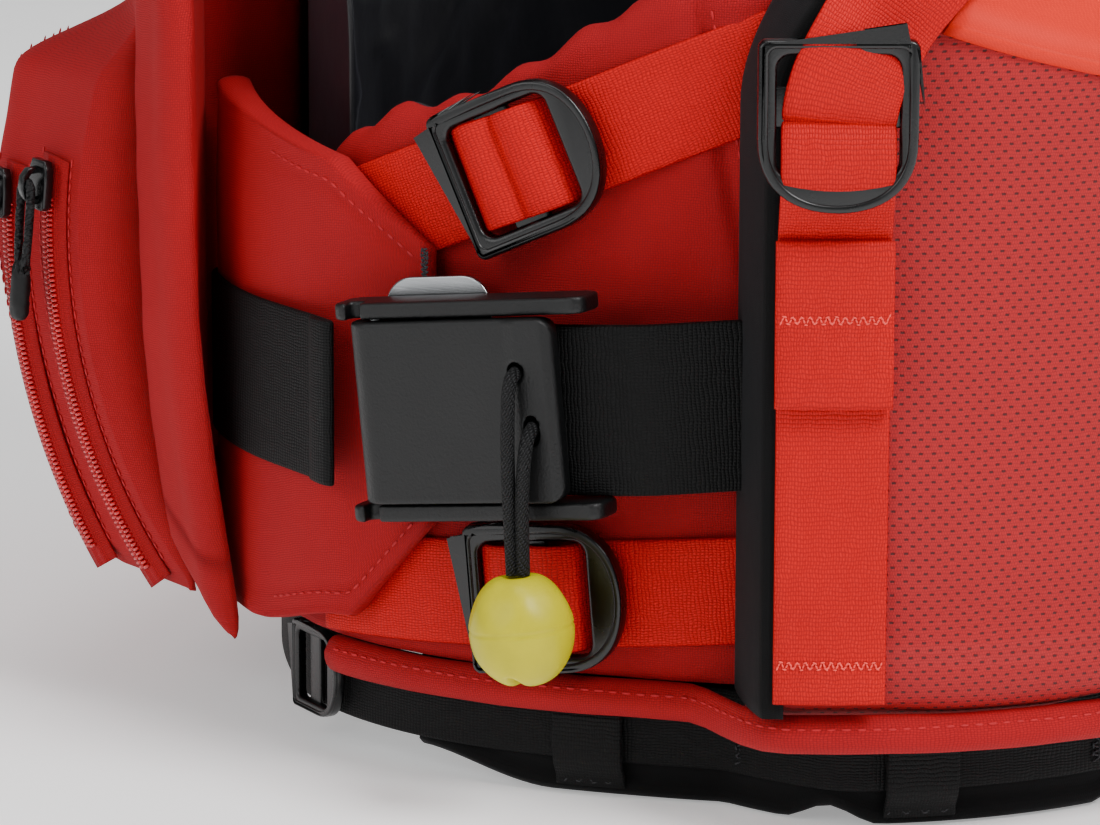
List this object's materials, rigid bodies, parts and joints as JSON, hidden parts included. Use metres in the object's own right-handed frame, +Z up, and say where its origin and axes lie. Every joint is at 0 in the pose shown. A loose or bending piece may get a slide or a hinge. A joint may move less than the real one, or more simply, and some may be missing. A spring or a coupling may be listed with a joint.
{
  "type": "foam rescue life jacket",
  "caption": "Sleeveless foam rescue vest with quick-release chest harness, ladder-lock side straps, zipped chest pocket and belted skirt.",
  "frame": {"origin": "on the ground under the middle of the vest, measured without the release cord and its toggle", "axes": "+Z up; -Y is the wearer's front; +X is the wearer's left"},
  "size_m": [0.425, 0.3506, 0.4599],
  "materials": {
    "red_cordura": "woven nylon",
    "red_mesh": "knitted mesh",
    "orange_fabric": "smooth woven nylon",
    "black_fabric": "twill and satin",
    "red_webbing": "ribbed polyester webbing",
    "black_webbing": "woven nylon webbing",
    "foam": "closed-cell foam",
    "black_plastic": "fine spark texture",
    "steel": "polished",
    "zip_red": "nylon coil",
    "cord_black": "braided",
    "toggle_yellow": "moulded"
  },
  "bodies": {
    "vest": {"lining_front": "black_fabric", "lining_back": "black_fabric", "front_shell": "red_cordura", "front_foam": "foam", "back_shell": "red_mesh", "back_foam": "foam", "back_yoke": "orange_fabric", "chest_pocket": "red_cordura", "side_panel_left": "red_cordura", "side_panel_right": "red_cordura", "wing_left": "red_cordura", "wing_right": "red_cordura", "back_edge_left": "black_fabric", "back_edge_right": "black_fabric", "shoulder_pad_left": "red_cordura", "shoulder_pad_right": "red_cordura", "upper_side_loop_left": "red_webbing", "upper_side_loop_right": "red_webbing", "upper_side_strap_left": "red_webbing", "upper_side_strap_right": "red_webbing", "lower_side_loop_left": "red_webbing", "lower_side_loop_right": "red_webbing", "lower_side_strap_left": "red_webbing", "lower_side_strap_right": "red_webbing", "shoulder_anchor_left": "red_webbing", "shoulder_anchor_right": "red_webbing", "shoulder_strap_left": "red_webbing", "shoulder_strap_right": "red_webbing", "belt_loop_side_left": "black_webbing", "belt_loop_side_right": "black_webbing", "belt_loop_back_left": "black_webbing", "belt_loop_back_right": "black_webbing", "hem_roll": "red_cordura", "harness_belt": "black_webbing", "harness_belt_end": "black_webbing", "buckle_body": "black_plastic", "lever_pin": "steel", "buckle_plate": "steel", "inner_zip": "zip_red", "outer_zip": "zip_red", "skirt": "black_fabric", "waist_belt": "black_webbing", "waist_clip_socket": "black_plastic"},
    "lever": {"buckle_lever": "black_plastic"},
    "toggle": {"release_cord_front": "cord_black", "release_cord_rear": "cord_black", "toggle_ball": "toggle_yellow"},
    "inner_slider": {"inner_zip_slider": "black_plastic"},
    "outer_slider": {"outer_zip_slider": "black_plastic"},
    "inner_puller": {"inner_zip_puller": "cord_black"},
    "outer_puller": {"outer_zip_puller": "cord_black"},
    "clip_plug": {"waist_clip_plug": "black_plastic"},
    "upper_side_lock_left": {"upper_side_lock_left": "black_plastic"},
    "upper_side_lock_right": {"upper_side_lock_right": "black_plastic"},
    "lower_side_lock_left": {"lower_side_lock_left": "black_plastic"},
    "lower_side_lock_right": {"lower_side_lock_right": "black_plastic"},
    "shoulder_lock_left": {"shoulder_lock_left": "black_plastic"},
    "shoulder_lock_right": {"shoulder_lock_right": "black_plastic"},
    "waist_lock_left": {"waist_lock_left": "black_plastic"},
    "waist_lock_right": {"waist_lock_right": "black_plastic"}
  },
  "joints": [
    {"name": "lever_open", "type": "hinge", "parent": "vest", "child": "lever", "pos_m": [0.18367, -0.04136, 0.09165], "axis": [0.0164, 0.1032, -0.9945], "range_deg": [0, 100]},
    {"name": "toggle_swing", "type": "hinge", "parent": "lever", "child": "toggle", "pos_m": [0.19569, -0.00646, 0.10452], "axis": [-0.1558, -0.9822, -0.1045], "range_deg": [0, 60]},
    {"name": "upper_side_lock_left_tilt", "type": "hinge", "parent": "vest", "child": "upper_side_lock_left", "pos_m": [0.17341, -0.02668, 0.14227], "axis": [0.0421, 0.4045, -0.9135], "range_deg": [0, 35]},
    {"name": "upper_side_lock_right_tilt", "type": "hinge", "parent": "vest", "child": "upper_side_lock_right", "pos_m": [-0.17341, -0.02668, 0.14227], "axis": [0.0421, -0.4045, 0.9135], "range_deg": [0, 35]},
    {"name": "lower_side_lock_left_tilt", "type": "hinge", "parent": "vest", "child": "lower_side_lock_left", "pos_m": [0.17459, -0.02272, 0.04734], "axis": [0.0057, 0.087, -0.9962], "range_deg": [0, 15]},
    {"name": "lower_side_lock_right_tilt", "type": "hinge", "parent": "vest", "child": "lower_side_lock_right", "pos_m": [-0.17459, -0.02272, 0.04734], "axis": [0.0057, -0.087, 0.9962], "range_deg": [0, 35]},
    {"name": "shoulder_lock_left_tilt", "type": "hinge", "parent": "vest", "child": "shoulder_lock_left", "pos_m": [0.20274, 0.06916, 0.184], "axis": [0.2997, -0.954, 0], "range_deg": [0, 35]},
    {"name": "shoulder_lock_right_tilt", "type": "hinge", "parent": "vest", "child": "shoulder_lock_right", "pos_m": [-0.20274, 0.06916, 0.184], "axis": [0.2997, 0.954, 0], "range_deg": [0, 35]},
    {"name": "waist_lock_left_tilt", "type": "hinge", "parent": "vest", "child": "waist_lock_left", "pos_m": [0.13212, -0.08, 0.018], "axis": [0, 0, -1], "range_deg": [0, 30]},
    {"name": "waist_lock_right_tilt", "type": "hinge", "parent": "vest", "child": "waist_lock_right", "pos_m": [-0.13212, -0.08, 0.018], "axis": [0, 0, 1], "range_deg": [0, 30]},
    {"name": "inner_slider_travel", "type": "hinge", "parent": "vest", "child": "inner_slider", "pos_m": [0.12, 0.00168, 0.1184], "axis": [1, 0, 0], "range_deg": [0, 34.5]},
    {"name": "inner_puller_swing", "type": "hinge", "parent": "inner_slider", "child": "inner_puller", "pos_m": [0.12534, -0.1528, 0.13056], "axis": [-0.647, -0.7602, 0.0598], "range_deg": [0, 140]},
    {"name": "outer_slider_travel", "type": "hinge", "parent": "vest", "child": "outer_slider", "pos_m": [0.106, 0.00168, 0.1184], "axis": [1, 0, 0], "range_deg": [0, 28.5]},
    {"name": "outer_puller_swing", "type": "hinge", "parent": "outer_slider", "child": "outer_puller", "pos_m": [0.11134, -0.16962, 0.12588], "axis": [-0.647, -0.7618, 0.0333], "range_deg": [0, 140]},
    {"name": "waist_clip_release", "type": "slide", "parent": "vest", "child": "clip_plug", "axis": [-1, 0, 0], "range_m": [0, 0.026]}
  ]
}
